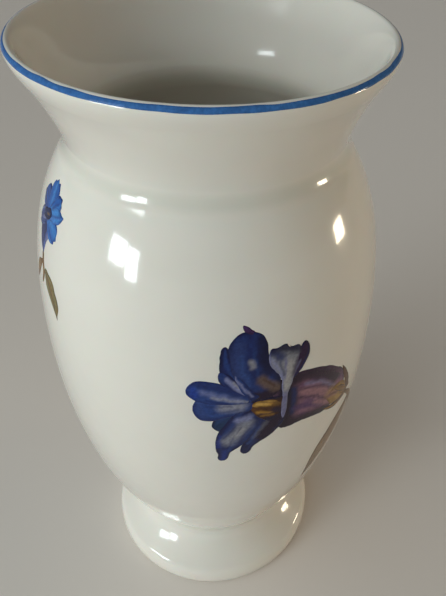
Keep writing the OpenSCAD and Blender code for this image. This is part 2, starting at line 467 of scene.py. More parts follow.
@dataclass
class VaseShape:
    """Outline of the porcelain, as radius and height, and the slow ripple of its surface."""

    wall: float = 3.6
    belly_z: float = 142.0
    lower_reach: float = 138.0
    foot_edge_z: float = 4.8
    foot_roll_z: float = 11.5
    ring_width: float = 5.0
    fold_r: float = 46.5
    waist_r: float = 36.5
    crest_r: float = 57.0
    ripple_mm: float = 0.11
    outer: np.ndarray = field(init=False)
    inner: np.ndarray = field(init=False)

    def __post_init__(self) -> None:
        """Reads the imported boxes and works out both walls."""
        foot, body, neck = (np.array(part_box(n)) / MM for n in ("foot", "body", "neck"))
        self.foot_r, self.foot_top = foot[1, 0], foot[1, 2]
        self.belly_r, self.body_z, self.fold_z = body[1, 0], body[0, 2], body[1, 2]
        self.neck_z, self.top, self.lip_r = neck[0, 2], neck[1, 2], neck[1, 0]
        self.lip_z = self.top - 2
        self.ring_r = self.foot_r - 1
        self.floor_z = self.body_z + 6
        self.outer = self.outer_wall()
        self.inner = self.inner_wall()

    def outer_wall(self) -> np.ndarray:
        """Outside from the standing ring up to the crest of the lip.

        The foot is three cubic curves, the lower body a quarter ellipse, the shoulder one
        cubic and the neck three. The folds at the waist and the neck are rounded by glaze.

        Returns:
            Places as radius and height.
        """
        foot = [
            bezier([(self.ring_r, 0.3), (self.foot_r - 0.2, 1.2), (self.foot_r, 3.0),
                    (self.foot_r, self.foot_edge_z)], 12),
            bezier([(self.foot_r, self.foot_edge_z), (self.foot_r, self.foot_edge_z + 3.4),
                    (self.foot_r - 1.2, self.foot_roll_z - 1), (self.foot_r - 2.5, self.foot_roll_z)],
                   16),
            bezier([(self.foot_r - 2.5, self.foot_roll_z), (self.foot_r - 6.8, self.foot_roll_z + 4.2),
                    (self.waist_r, self.foot_top - 8), (self.waist_r, self.foot_top)], 40)]
        z = np.linspace(self.body_z, self.belly_z, 160)
        lower = self.belly_r * np.sqrt(1 - ((self.belly_z - z) / self.lower_reach) ** 2)
        body = [np.stack([lower, z], axis=1),
                bezier([(self.belly_r, self.belly_z), (self.belly_r, self.belly_z + 38),
                        (self.fold_r + 11.4, self.fold_z - 16), (self.fold_r, self.fold_z)], 160)]
        shelf = (self.fold_r + 7.2, self.lip_z - 10)
        neck = [
            bezier([(self.fold_r, self.neck_z), (self.fold_r - 0.2, self.neck_z + 6),
                    (self.fold_r + 4, self.lip_z - 17), shelf], 60),
            bezier([shelf, (self.fold_r + 9.2, self.lip_z - 7.2), (self.lip_r, self.lip_z - 2.4),
                    (self.lip_r, self.lip_z)], 50),
            bezier([(self.lip_r, self.lip_z), (self.lip_r, self.lip_z + 0.9),
                    (self.crest_r + 0.9, self.top), (self.crest_r, self.top)], 30)]
        path = np.concatenate(foot + body + neck)
        path = path[np.r_[True, np.hypot(*np.diff(path, axis=0).T) > 1e-6]]
        for z, reach in ((shelf[1], 5.0), (self.fold_z, 4.0), (self.foot_top, 4.5)):
            path = rounded(path, int(np.argmin(abs(path[:, 1] - z))), reach)
        return path

    def inner_wall(self) -> np.ndarray:
        """Inside from the crest of the lip down to the middle of the floor."""
        shelf = (self.fold_r + 4, self.lip_z - 11)
        throat = self.fold_r - self.wall
        corner_z = self.floor_z + 14
        below = self.outer[(self.outer[:, 1] > corner_z) & (self.outer[:, 1] < self.fold_z - 4)][::-1]
        wall = below - [self.wall, 0]
        corner = wall[-1]
        path = np.concatenate([
            bezier([(self.crest_r, self.top), (self.crest_r - 1.4, self.top),
                    (shelf[0] + 3.2, shelf[1] + 6.5), shelf], 60),
            bezier([shelf, (shelf[0] - 3.5, shelf[1] - 7), (throat, self.neck_z + 7),
                    (throat, self.neck_z - 1)], 40)[1:],
            wall[wall[:, 0] > throat],
            bezier([tuple(corner), (corner[0] - 3, corner[1] - 9), (corner[0] - 12, self.floor_z),
                    (16.0, self.floor_z)], 40)[1:],
            [[0.0, self.floor_z]]])
        return rounded(path, int(np.argmin(abs(path[:, 1] - self.neck_z + 1))), 5.0)

    def ripple(self, angle: np.ndarray, z: np.ndarray) -> np.ndarray:
        """Outward offset of the hand-finished surface: three slow waves round and up."""
        return self.ripple_mm * (np.sin(2 * angle + 1.3 + z / 70)
                                 + 0.6 * np.sin(3 * angle - 0.7 + z / 38)
                                 + 0.35 * np.sin(7 * angle + 2.1 - z / 24))

    def place(self, angle: np.ndarray, z: np.ndarray, lift: np.ndarray | float) -> np.ndarray:
        """Places on the outside, lifted along the outline's normal.

        Args:
            angle: Turn from the front towards the right, in radians.
            z: Height.
            lift: Distance out from the glaze.

        Returns:
            Places in millimetres, with a last axis of 3.
        """
        r = np.interp(z, self.outer[:, 1], self.outer[:, 0])
        slope = (np.interp(z + 0.5, self.outer[:, 1], self.outer[:, 0])
                 - np.interp(z - 0.5, self.outer[:, 1], self.outer[:, 0]))
        length = np.sqrt(1 + slope ** 2)
        r = r + self.ripple(angle, z) + lift / length
        return np.stack([r * np.sin(angle), -r * np.cos(angle), z - lift * slope / length], axis=-1)

    def lathed(self, loop: np.ndarray, segments: int = 256) -> np.ndarray:
        """Carries a profile round the axis, with the ripple fading out towards the axis.

        Args:
            loop: Profile as radius and height.
            segments: Places round the axis.

        Returns:
            Grid with a row for each profile place.
        """
        angle = np.arange(segments) * 2 * np.pi / segments
        r, z = loop[:, :1], loop[:, 1:]
        r = r + self.ripple(angle, z) * np.clip(r / 30, 0, 1)
        return np.stack([r * np.sin(angle), -r * np.cos(angle), z + 0 * angle], axis=-1)


@dataclass
class Porcelain:
    """Foot, body and neck, with the glazed-over slip joints between them."""

    shape: VaseShape
    waist_cut: tuple[float, float] = (24.0, 34.0)
    fold_cut: tuple[float, float] = (211.0, 221.5)
    joint_depth: float = 6.0
    joint_step: float = 0.35
    neck_step: float = 0.4
    bare_below: float = 0.9

    def foot_loop(self) -> np.ndarray:
        """Foot: up the outside, in over the top, down the hollow underside and round the ring."""
        s = self.shape
        ring_in = s.ring_r - s.ring_width
        bore = s.waist_r - self.joint_depth
        top = self.waist_cut[0]
        return np.concatenate([
            resampled(cut(s.outer, 0.3, top), 0.5),
            [[bore, top]],
            resampled(bezier([(bore, top - 1), (bore, 13), (ring_in, 12), (ring_in, 1.0)], 40), 0.8),
            resampled(bezier([(ring_in, 0.8), (ring_in, 0.2), (ring_in + 0.2, 0), (ring_in + 0.8, 0)], 8),
                      0.25),
            [[s.ring_r - 2.4, 0], [s.ring_r - 0.8, 0], [s.ring_r - 0.3, 0.08]]])

    def body_loop(self) -> np.ndarray:
        """Body: out under the floor, up the outside, over the cut and down the inside."""
        s = self.shape
        low, high = self.waist_cut[1], self.fold_cut[0]
        outside = resampled(cut(s.outer, low, high), 1.0)
        inside = resampled(cut(s.inner, high, s.floor_z + 0.001), 1.8)
        rim = outside[0, 0] - self.joint_depth
        return np.concatenate([
            [[0, s.body_z], [15, s.body_z], [rim - 0.5, s.body_z], [rim, s.body_z + 0.5], [rim, low]],
            outside, inside, [[8, s.floor_z], [0, s.floor_z]]])

    def ring_loop(self, low: float, high: float, step: float) -> np.ndarray:
        """A ring cut from the wall between two heights, open to the inside of the vase or not.

        Args:
            low: Lower cut.
            high: Upper cut.
            step: Spacing of the places.

        Returns:
            Closed profile, up the outside and down the inside.
        """
        s = self.shape
        outside = resampled(cut(s.outer, low, high), step)
        if low < s.floor_z:
            return np.concatenate([outside, [[outside[-1, 0] - self.joint_depth, high],
                                             [outside[0, 0] - self.joint_depth, low]]])
        if high >= s.top:
            inside = resampled(cut(s.inner, s.top, low), step * 1.6)[1:]
        else:
            inside = resampled(cut(s.inner, high, low), step * 1.6)
        return np.concatenate([outside, inside])

    def build(self) -> list[bpy.types.Object]:
        """Builds and dresses the five pieces and returns them."""
        s = self.shape
        glaze = PorcelainGlaze((s.foot_top + 0.5, s.fold_z + 0.5)).material()
        foot = closed_mesh("foot_glazed", s.lathed(self.foot_loop()), poles=False)
        dressed(foot, "porcelain_glaze", ["foot"], glaze, Bisque().material())
        centres = np.empty(len(foot.data.polygons) * 3)
        foot.data.polygons.foreach_get("center", centres)
        bare = ((centres[2::3] < self.bare_below * MM)
                & (np.hypot(centres[0::3], centres[1::3]) < s.ring_r * MM))
        foot.data.polygons.foreach_set("material_index", bare.astype(np.int32))
        body = closed_mesh("body_glazed", s.lathed(self.body_loop()), poles=True)
        dressed(body, "porcelain_glaze", ["body"], glaze)
        rings = [
            ("waist_joint_glazed", "foot_slip_joint", self.waist_cut, self.joint_step),
            ("neck_joint_glazed", "neck_slip_joint", self.fold_cut, self.joint_step),
            ("neck_glazed", "neck", (self.fold_cut[1], s.top), self.neck_step)]
        return [foot, body] + [
            dressed(closed_mesh(name, s.lathed(self.ring_loop(*heights, step)), poles=False),
                    "porcelain_glaze", [node], glaze)
            for name, node, heights, step in rings]


@dataclass
class RimLine:
    """Cobalt line banded by hand on the bevel of the lip."""

    shape: VaseShape
    low_z: float = 248.35
    high_z: float = 249.8
    film: float = 0.1
    edge_sink: float = 0.03
    under_sink: float = 0.12
    wander: float = 0.1
    waves: int = 64
    segments: int = 384
    columns: int = 9
    seed: int = 11

    def build(self) -> bpy.types.Object:
        """Builds the line: a thin loop carried round the bevel, whose edges wander a little.

        The film is crowned across, and darker along its edges and where the brush was loaded.

        Returns:
            The dressed piece.
        """
        angle = np.arange(self.segments) * 2 * np.pi / self.segments
        around = angle / (2 * np.pi) * self.waves
        low, high = (z + self.wander * (2 * grain(self.seed + salt, around, around * 0, 1) - 1)
                     for z, salt in ((self.low_z, 0), (self.high_z, 5)))
        across = np.linspace(0, 1, self.columns)
        up = np.concatenate([across, across[::-1]])[:, None]
        outside = np.repeat([True, False], self.columns)[:, None]
        crown = 1 - abs(2 * up - 1) ** 6
        z = low + (high - low) * up
        lift = np.where(outside, self.film * crown - self.edge_sink * (1 - crown), -self.under_sink)
        grid = self.shape.place(angle + 0 * z, z, lift)
        load = grain(self.seed + 9, around * 2 + 0 * z, up * 1.5 + 0 * z)
        deep = np.clip(0.35 * smooth(0.35, 0.75, load) + 0.45 * smooth(0.55, 1, abs(2 * up - 1)), 0, 1)
        paint = linear(Hue.BAND) * (1 - deep[..., None]) + linear(Hue.BAND_DEEP) * deep[..., None]
        piece = closed_mesh("rim_line_banded", grid, poles=False, paint=paint)
        return dressed(piece, "blue_line_enamel", ["rim_line"], Enamel("cobalt_band").material())


# ---------- transfers ----------


@dataclass(frozen=True)
class Stroke:
    """Soft brush mark: a line through places (along, height), in one colour."""

    hue: Hue
    width: float
    strength: float
    soft: float
    points: Sequence[Place]

    def amount(self, place: np.ndarray) -> np.ndarray:
        """How much of the mark's colour lies on each place.

        The amount falls by a smooth step over the soft margin, from the distance to the
        nearest straight stretch of the line.

        Args:
            place: Places (along, height), with a last axis of 2.

        Returns:
            Amounts from 0 to 1.
        """
        p = np.array(self.points, float)
        start, step = p[:-1], np.diff(p, axis=0)
        reach = ((place[..., None, :] - start) * step).sum(-1) / np.maximum((step ** 2).sum(-1), TINY)
        nearest = start + np.clip(reach, 0, 1)[..., None] * step
        away = np.sqrt(((place[..., None, :] - nearest) ** 2).sum(-1)).min(-1)
        half, margin = self.width / 2, self.soft / 2
        return self.strength * (1 - smooth(half - margin, half + margin, away))


def strokes(*rows: tuple) -> list[Stroke]:
    """Brush marks from rows of colour, width, strength, soft margin and the line's places."""
    return [Stroke(*row[:4], row[4:]) for row in rows]


def shifted(places: Sequence[Place], along: float) -> list[Place]:
    """The same places (along, height), further round the vase."""
    return [(along + a, z) for a, z in places]


@dataclass(frozen=True)
class Petal:
    """One painted shape of a transfer: a thin crowned film of enamel along a bent spine.

    The spine is a smooth curve through places (along, height), from base to tip. The film
    reaches to both sides of it by the smoothed half widths, one for each place of the spine,
    and is rounded off at both ends. The colours are those of its body, edge and streaks.
    """

    name: str
    spine: Sequence[Place]
    half: Sequence[float]
    colours: tuple[Hue, Hue, Hue]
    layer: int = 0
    seed: int = 0
    base_round: float = 0.08
    tip_round: float = 0.2
    edge_mm: float = 2.0
    edge_strength: float = 0.8
    streaks: float = 0.6
    streak_mm: float = 1.6
    streak_length_mm: float = 9.0
    wander_mm: float = 0.35
    wander_length_mm: float = 3.5
    frill_mm: float = 0.0
    frill_pitch_mm: float = 5.5
    tone_mm: float = 0.8
    marks: Sequence[Stroke] = ()
    film_mm: float = 0.07
    layer_mm: float = 0.03
    edge_sink_mm: float = 0.03
    under_sink_mm: float = 0.06
    row_step_mm: float = 0.35
    fewest_rows: int = 24
    most_rows: int = 110
    least_half: float = 0.05
    frilled_from: float = 0.85
    columns: int = 44
    under_columns: int = 7

    def moved(self, along: float, seed: int) -> "Petal":
        """The same petal and marks further round the vase, with seed added to its own."""
        marks = [replace(mark, points=shifted(mark.points, along)) for mark in self.marks]
        return replace(self, spine=shifted(self.spine, along), marks=marks, seed=self.seed + seed)

    def side(self, half: np.ndarray, run: np.ndarray, salt: int) -> np.ndarray:
        """Half width of one side: the smoothed one plus slow noise along the spine.

        Args:
            half: Smoothed half width at each row.
            run: Distance along the spine at each row.
            salt: Added to the seed, so that the two sides differ.

        Returns:
            Half width at each row, never negative.
        """
        wander = 2 * grain(self.seed + salt, run / self.wander_length_mm, run * 0) - 1
        return np.maximum(half + self.wander_mm * wander * np.minimum(half, 1), 0)

    def grid(self) -> tuple[np.ndarray, np.ndarray, np.ndarray]:
        """Works out where the film lies.

        A place is the spine at t plus u times the half width along the spine's left normal. The
        half width carries slow noise, and a quarter-ellipse cap at each end. A sine wave across
        the tip moves its places along the spine, which frills it.

        Returns:
            Places (along, height), distance to the edge in mm, and streak noise from 0 to 1,
            each with rows from base to tip and columns from left to right.
        """
        length = np.hypot(*np.diff(np.array(self.spine, float), axis=0).T).sum()
        rows = int(np.clip(length / self.row_step_mm, self.fewest_rows, self.most_rows))
        t = (1 - np.cos(np.linspace(0, np.pi, rows))) / 2
        spine = through(self.spine, t)
        tangent = (through(self.spine, np.minimum(t + 1e-3, 1))
                   - through(self.spine, np.maximum(t - 1e-3, 0)))
        tangent /= np.maximum(np.linalg.norm(tangent, axis=1, keepdims=True), TINY)
        normal = np.stack([-tangent[:, 1], tangent[:, 0]], axis=1)
        base, tip = (np.sqrt(np.clip(1 - (1 - np.minimum(way / reach, 1)) ** 2, 0, 1))
                     for way, reach in ((t, self.base_round), (1 - t, self.tip_round)))
        u = np.sin(np.linspace(1, -1, self.columns) * np.pi / 2)
        half = base * tip * np.maximum(through(self.half, t), self.least_half)
        run = t * length
        left, right = (self.side(half, run, salt) for salt in (0, 31))
        width = np.where(u > 0, left[:, None], right[:, None])
        across = u * width
        frill = (self.frill_mm * np.sin(2 * np.pi * across / self.frill_pitch_mm)
                 * smooth(self.frilled_from, 1, t)[:, None])
        place = (spine[:, None] + across[..., None] * normal[:, None]
                 + frill[..., None] * tangent[:, None])
        edge = np.minimum((1 - abs(u)) * width, (np.minimum(t, 1 - t) * length * 1.2)[:, None])
        noise = grain(self.seed + 7, (run / self.streak_length_mm)[:, None] + 0 * across,
                      across / self.streak_mm + 9, 3)
        return place, edge, noise

    def paint(self, place: np.ndarray, edge: np.ndarray, noise: np.ndarray) -> np.ndarray:
        """Colours the film: body, streaks along the petal, darker edge, then the marks in order.

        Args:
            place: Places (along, height), which noise moves by up to half a millimetre.
            edge: Distance to the petal's edge, in millimetres.
            noise: Streak noise from 0 to 1.

        Returns:
            Linear RGB colours.
        """
        body, rim, streak = self.colours
        ragged = place + np.stack([
            grain(self.seed + 3, place[..., 0] / 1.7, place[..., 1] / 1.7) - 0.5,
            grain(self.seed + 4, place[..., 0] / 1.9 + 7, place[..., 1] / 1.9) - 0.5], axis=-1)
        colour = linear(body) * np.ones(place.shape[:2] + (1,))
        layers = [(self.streaks * smooth(0.45, 0.72, noise), streak),
                  (self.edge_strength * (1 - smooth(0, self.edge_mm, edge + 1.4 * (noise - 0.5))), rim)]
        layers += [(mark.amount(ragged), mark.hue) for mark in self.marks]
        for amount, hue in layers:
            colour = colour * (1 - amount[..., None]) + linear(hue) * amount[..., None]
        tone = 0.9 + 0.2 * grain(
            self.seed + 8, place[..., 0] / self.tone_mm, place[..., 1] / self.tone_mm, 1)
        return colour * tone[..., None]

    def build(self, shape: VaseShape, flower: str, slot: str, node: str,
              enamel: bpy.types.Material) -> bpy.types.Object:
        """Lays the film on the glaze: crowned on top, flat and just under the glaze below.

        Args:
            shape: The vase the transfer is fired on.
            flower: The flower's name, which starts the piece's name.
            slot: Record material slot.
            node: CAD node that the piece stands for.
            enamel: Its material.

        Returns:
            The dressed piece.
        """
        place, edge, noise = self.grid()
        colour = self.paint(place, edge, noise)
        crown = smooth(-0.05, 0.45, edge)
        lift = crown * (self.edge_sink_mm + self.film_mm + self.layer * self.layer_mm) - self.edge_sink_mm
        under = np.linspace(self.columns - 2, 1, self.under_columns).round().astype(int)
        place = np.concatenate([place, place[:, under]], axis=1)
        colour = np.concatenate([colour, colour[:, under]], axis=1)
        lift = np.concatenate([lift, np.full((len(lift), len(under)), -self.under_sink_mm)], axis=1)
        lift[[0, -1]] = -self.edge_sink_mm
        grid = shape.place(place[..., 0] / shape.belly_r, place[..., 1], lift)
        piece = closed_mesh(f"{flower}_{self.name}", grid, poles=True, paint=colour)
        return dressed(piece, slot, [node], enamel)


@dataclass
class Bellflower:
    """Large bellflower lying on its side, seen into its open mouth, with calyx, stem and leaves."""

    shape: VaseShape
    dark: tuple[Hue, Hue, Hue] = (Hue.NAVY, Hue.INK, Hue.COBALT)
    blade: tuple[Hue, Hue, Hue] = (Hue.COBALT, Hue.NAVY, Hue.DENIM)

    def tube(self) -> list[Petal]:
        """The pleated tube, dark plum at the mouth and mauve behind, on a dark ground."""
        return [
            Petal("ground", [(8, 150), (14, 149), (20, 147), (26, 145)], [5, 7, 9, 11],
                  (Hue.INK, Hue.INK, Hue.PLUM), seed=2, base_round=0.3, tip_round=0.3),
            Petal("tube", [(20, 144.5), (26, 145), (33, 144.3), (39, 142), (45, 138), (51.5, 131.5)],
                  [12, 13.2, 12.9, 12, 10.2, 6.8], (Hue.MAUVE, Hue.PLUM, Hue.VIOLET), seed=3,
                  base_round=0.1, tip_round=0.12, edge_mm=3.4, edge_strength=0.85, streak_mm=1.3,
                  marks=strokes(
                (Hue.DEEP_PLUM, 9, 1, 6, (24, 157), (26, 145), (24, 134)),
                (Hue.NAVY, 2, 0.9, 2.4, (28, 151), (28.4, 145), (28, 139)),
                (Hue.DEEP_PLUM, 5, 0.9, 3.4, (26, 156), (35, 154.5), (42, 150.5), (48, 144)),
                (Hue.DEEP_PLUM, 5, 0.9, 3.6, (22, 135), (31, 133.5), (40, 131.5), (45, 130)),
                (Hue.VIOLET, 2.2, 0.7, 2, (29, 141), (36, 138), (42, 134.5)),
                (Hue.ROSE, 3.6, 0.8, 2.4, (32, 147.5), (40, 143), (50, 134)),
                (Hue.LAVENDER, 1.5, 0.55, 1.8, (33, 151), (40, 147.6), (48, 139.5)),
                (Hue.PLUM, 1, 0.75, 1.2, (31, 145), (39, 140.8), (47, 133.5)),
                (Hue.PLUM, 0.9, 0.7, 1.2, (31, 149.6), (41, 145.2), (49.5, 137)),
                (Hue.ROSE, 2, 0.7, 1.8, (38, 138.5), (46, 132)),
                (Hue.OLIVE, 5, 0.65, 4.5, (46, 138), (51, 132))))]

    def upper_petals(self) -> list[Petal]:
        """The petals at the top of the mouth."""
        return [
            Petal("back_petal", [(12, 153), (8, 160), (5, 166), (4, 171), (4, 175.4)],
                  [1.5, 3, 3, 2, 1.6], self.dark, seed=5),
            Petal("top_petal", [(18, 150.5), (17.6, 155), (15, 160), (12.6, 165), (11.6, 170),
                                (11.2, 175), (10.3, 180)],
                  [4, 5.5, 6.7, 6.4, 6.5, 6.4, 4.4], self.dark, 1, 7, base_round=0.12, tip_round=0.12,
                  streaks=0.4, edge_mm=2.6, marks=strokes(
                (Hue.SLATE, 4.2, 0.6, 4, (8.4, 163), (7.4, 169), (8.4, 175)),
                (Hue.DENIM, 1.2, 0.6, 1.8, (12, 158), (9.6, 165), (9, 171)),
                (Hue.COBALT, 0.9, 0.6, 1.2, (14.5, 162), (13.4, 172)),
                (Hue.INK, 3.8, 0.8, 3.2, (18, 163), (16.2, 169), (16, 176)),
                (Hue.DEEP_PLUM, 4.4, 0.95, 2.6, (13, 152.4), (22.5, 153)),
                (Hue.TAUPE, 3.8, 0.85, 2.4, (16, 160), (18, 157.6), (21, 155)),
                (Hue.UMBER, 0.8, 0.6, 0.8, (16.6, 160), (20.6, 156)),
                (Hue.PEARL, 1.7, 0.65, 1.8, (12.9, 166), (12.3, 168.4)))),
            Petal("petal_point", [(13.4, 179), (11.6, 180.2), (9.9, 182.3)], [0.9, 1.1, 0.9],
                  (Hue.VIOLET, Hue.PLUM, Hue.DEEP_PLUM), 2, 8, edge_mm=0.7, tip_round=0.35),
            Petal("upper_left_petal", [(13, 151), (9, 156), (5, 161), (2.3, 165.7)], [1.6, 3, 2.3, 1.5],
                  self.dark, 2, 9, edge_mm=1, marks=strokes(
                (Hue.LAVENDER, 1.7, 0.85, 1.4, (4.4, 162.6), (7.8, 158), (11.2, 154)),
                (Hue.PEARL, 0.7, 0.6, 0.9, (6.6, 160.8), (11.4, 154.8)))),
            Petal("upper_inner_petal", [(14.5, 151.5), (10.5, 157), (7, 164)], [1.6, 1.7, 0.8],
                  self.dark, 3, 10, edge_mm=0.8, marks=strokes(
                (Hue.LAVENDER, 0.9, 0.7, 1, (6.8, 163), (9.8, 157.6), (12.6, 153.6))))]

    def left_petals(self) -> list[Petal]:
        """The two lobes of the petal that points to the left."""
        return [
            Petal("left_petal_lower_lobe", [(13.5, 148.5), (9, 149), (4.5, 149.6), (0, 149.9),
                                            (-3.4, 149.8), (-6.7, 150)],
                  [1.8, 3.8, 5.2, 6.6, 6.4, 4.6], self.blade, 2, 11, edge_mm=3, edge_strength=0.9,
                  streaks=0.35, marks=strokes(
                (Hue.SLATE, 1.6, 0.6, 2.6, (-4.8, 153), (-4.2, 149), (-3, 147)),
                (Hue.PEARL, 4, 0.62, 4, (3.4, 149.9), (8.6, 149.4)),
                (Hue.NAVY, 0.8, 0.5, 1.2, (0, 147.4), (8, 148)),
                (Hue.NAVY, 0.7, 0.5, 1, (-2, 150.6), (6, 150.3)))),
            Petal("left_petal_upper_lobe", [(12, 151.4), (7.5, 153.4), (3, 155.2), (-1, 156.6),
                                            (-4.6, 157.3), (-8.7, 157)],
                  [1.6, 3, 4.2, 5, 4.7, 3.9], self.blade, 3, 12, edge_mm=2.4, edge_strength=0.85,
                  streaks=0.3, marks=strokes(
                (Hue.BLUE_TIP, 2.6, 0.7, 2.4, (-6.4, 158.4), (-6, 155.6)),
                (Hue.NAVY, 2.4, 0.75, 2.2, (-4, 160.4), (2, 158.6), (8, 155)),
                (Hue.LAVENDER, 1.8, 0.55, 2.6, (-3.4, 157.4), (2, 155.4), (8, 152.6)),
                (Hue.PEARL, 1.1, 0.55, 1.4, (0, 155), (6, 152.8), (11, 151.4)),
                (Hue.NAVY, 0.7, 0.6, 1, (-2, 154), (5, 151.4))))]

    def lower_petals(self) -> list[Petal]:
        """The petals hanging below the mouth."""
        return [
            Petal("lower_fold", [(7.5, 146), (3.2, 142.2), (2, 137.6)], [3, 3.3, 2.4],
                  (Hue.TEAL_NAVY, Hue.INK, Hue.COBALT), seed=13, edge_mm=1.4, tip_round=0.3),
            Petal("lower_right_petal", [(20.5, 143), (19, 138), (16, 134), (13.3, 130), (11.7, 127),
                                        (10.9, 122.7)],
                  [5.5, 6, 5.3, 3.5, 2.4, 1.6], (Hue.NAVY, Hue.INK, Hue.INK), 1, 17, tip_round=0.1,
                  marks=strokes(
                (Hue.DEEP_PLUM, 6, 0.95, 4, (22.5, 141), (20, 136), (17.5, 132)),
                (Hue.STONE, 1.4, 0.35, 2, (18, 138.5), (14, 132)),
                (Hue.DENIM, 1, 0.55, 1.6, (15.8, 137), (12.2, 129)))),
            Petal("lower_petal", [(12.5, 146.5), (10.6, 142), (8.8, 138), (6.9, 134), (5, 130),
                                  (3.7, 127), (3.2, 124), (3.2, 120.1)],
                  [4.5, 5.6, 6.1, 6.1, 4.9, 3.3, 2.1, 1.8], self.dark, 2, 15, tip_round=0.08,
                  edge_mm=2.2, marks=strokes(
                (Hue.STONE, 5, 0.8, 4, (11, 140.4), (8.6, 136.4), (5, 132)),
                (Hue.PEARL, 2, 0.6, 2, (9.8, 138), (7.4, 134.4)),
                (Hue.LAVENDER, 2.8, 0.75, 2.2, (12, 143.4), (8.4, 142.6)),
                (Hue.NAVY, 0.6, 0.6, 0.8, (9.5, 139), (6, 132), (4.5, 126)),
                (Hue.NAVY, 0.7, 0.6, 0.9, (12.4, 137.6), (8.6, 131)),
                (Hue.NAVY, 0.7, 0.6, 0.9, (7, 139.6), (3.4, 133.6)),
                (Hue.BLUE_TIP, 1.2, 0.6, 1.4, (2, 135), (1.6, 129)),
                (Hue.BLUE_TIP, 2.2, 0.6, 2, (4, 126), (3.2, 121.6))))]

    def throat(self) -> list[Petal]:
        """The dark mouth with its ochre style."""
        return [
            Petal("throat", [(12.5, 148), (17, 146.6), (21, 144.6), (24.4, 142.6)], [2.6, 5, 6, 4.6],
                  (Hue.UMBER, Hue.DEEP_PLUM, Hue.BROWN), 3, 19, base_round=0.3, tip_round=0.25,
                  edge_mm=2.6, streaks=0.9, streak_mm=1.1, marks=strokes(
                (Hue.INK, 2.4, 0.95, 1.8, (13, 151.2), (22, 150.8)),
                (Hue.BROWN, 2.6, 0.9, 2.2, (13.6, 146.8), (15.4, 145.4)),
                (Hue.OCHRE, 1.3, 0.75, 1.2, (15, 145), (19.6, 143.6)),
                (Hue.OCHRE, 0.8, 0.5, 1, (16.4, 142.8), (20.4, 141.8)),
                (Hue.INK, 0.5, 0.7, 0.6, (16, 144), (21, 142.6)),
                (Hue.INK, 2.4, 0.8, 1.8, (20.6, 144.4), (23.6, 143)),
                (Hue.INK, 3, 0.95, 2, (18, 140), (23, 139.6)))),
            Petal("style", [(12.6, 149), (16, 148.7), (19.6, 147.6), (23.4, 145.8)], [1.4, 2.1, 2.1, 1.5],
                  (Hue.OCHRE, Hue.BROWN, Hue.STRAW), 4, 21, edge_mm=2.3, tip_round=0.3,
                  base_round=0.25, marks=strokes(
                (Hue.STRAW, 1, 0.7, 1.6, (14.4, 149.3), (18.4, 148.4)),
                (Hue.UMBER, 0.5, 0.6, 0.6, (16, 149.6), (22, 147.6)),
                (Hue.UMBER, 0.9, 0.8, 1, (15, 147.4), (22.5, 145.4)),
                (Hue.UMBER, 2.2, 0.75, 1.6, (20.6, 147), (23.2, 146))))]

    def fan(self) -> list[Petal]:
        """The pale petal that opens upwards like a fan, and its curled right lobe."""
        return [
            Petal("fan_lobe", [(26.5, 157), (29, 161), (31, 165.5), (31.6, 170.7)], [1.2, 2.3, 2.6, 1.7],
                  (Hue.PLUM, Hue.INK, Hue.NAVY), 4, 25, tip_round=0.25, edge_mm=1.2, marks=strokes(
                (Hue.LAVENDER, 0.8, 0.5, 1, (27.4, 158.6), (29.4, 163.4)))),
            Petal("fan_petal", [(24.4, 138), (24.5, 144), (24.5, 148), (24.6, 151), (24.9, 155),
                                (25.2, 158), (25.2, 161), (24.6, 164), (24.1, 167.2), (25.3, 171.5)],
                  [0.9, 1.3, 1.2, 1.4, 2.1, 2.7, 3.6, 4.9, 6, 5.8], (Hue.STONE, Hue.DUSK, Hue.DUSK),
                  5, 27, frill_mm=0.55, tip_round=0.06, edge_mm=1.2, edge_strength=0.7, marks=strokes(
                (Hue.NAVY, 3, 0.85, 2.6, (18.4, 172.4), (20.4, 169.6), (22.6, 167.4)),
                (Hue.INK, 6.2, 0.92, 3.2, (18.8, 173.2), (22, 172.6), (27, 171), (30.5, 169.4)),
                (Hue.PLUM, 2.2, 0.7, 2, (30.4, 168), (28.6, 163), (26.6, 158.6)),
                (Hue.LAVENDER, 0.8, 0.7, 1, (19, 167.6), (21.8, 163), (23.6, 158)),
                (Hue.PEARL, 2.4, 0.9, 1.8, (26, 164.4), (25.5, 161), (24.9, 153)),
                (Hue.DUSK, 0.7, 0.7, 0.9, (24.2, 166), (24.2, 158)),
                (Hue.NAVY, 0.8, 0.6, 1, (22.2, 165.6), (23.6, 159.6)),
                (Hue.DUSK, 1.5, 0.7, 1.4, (24.4, 150), (24.5, 140))))]

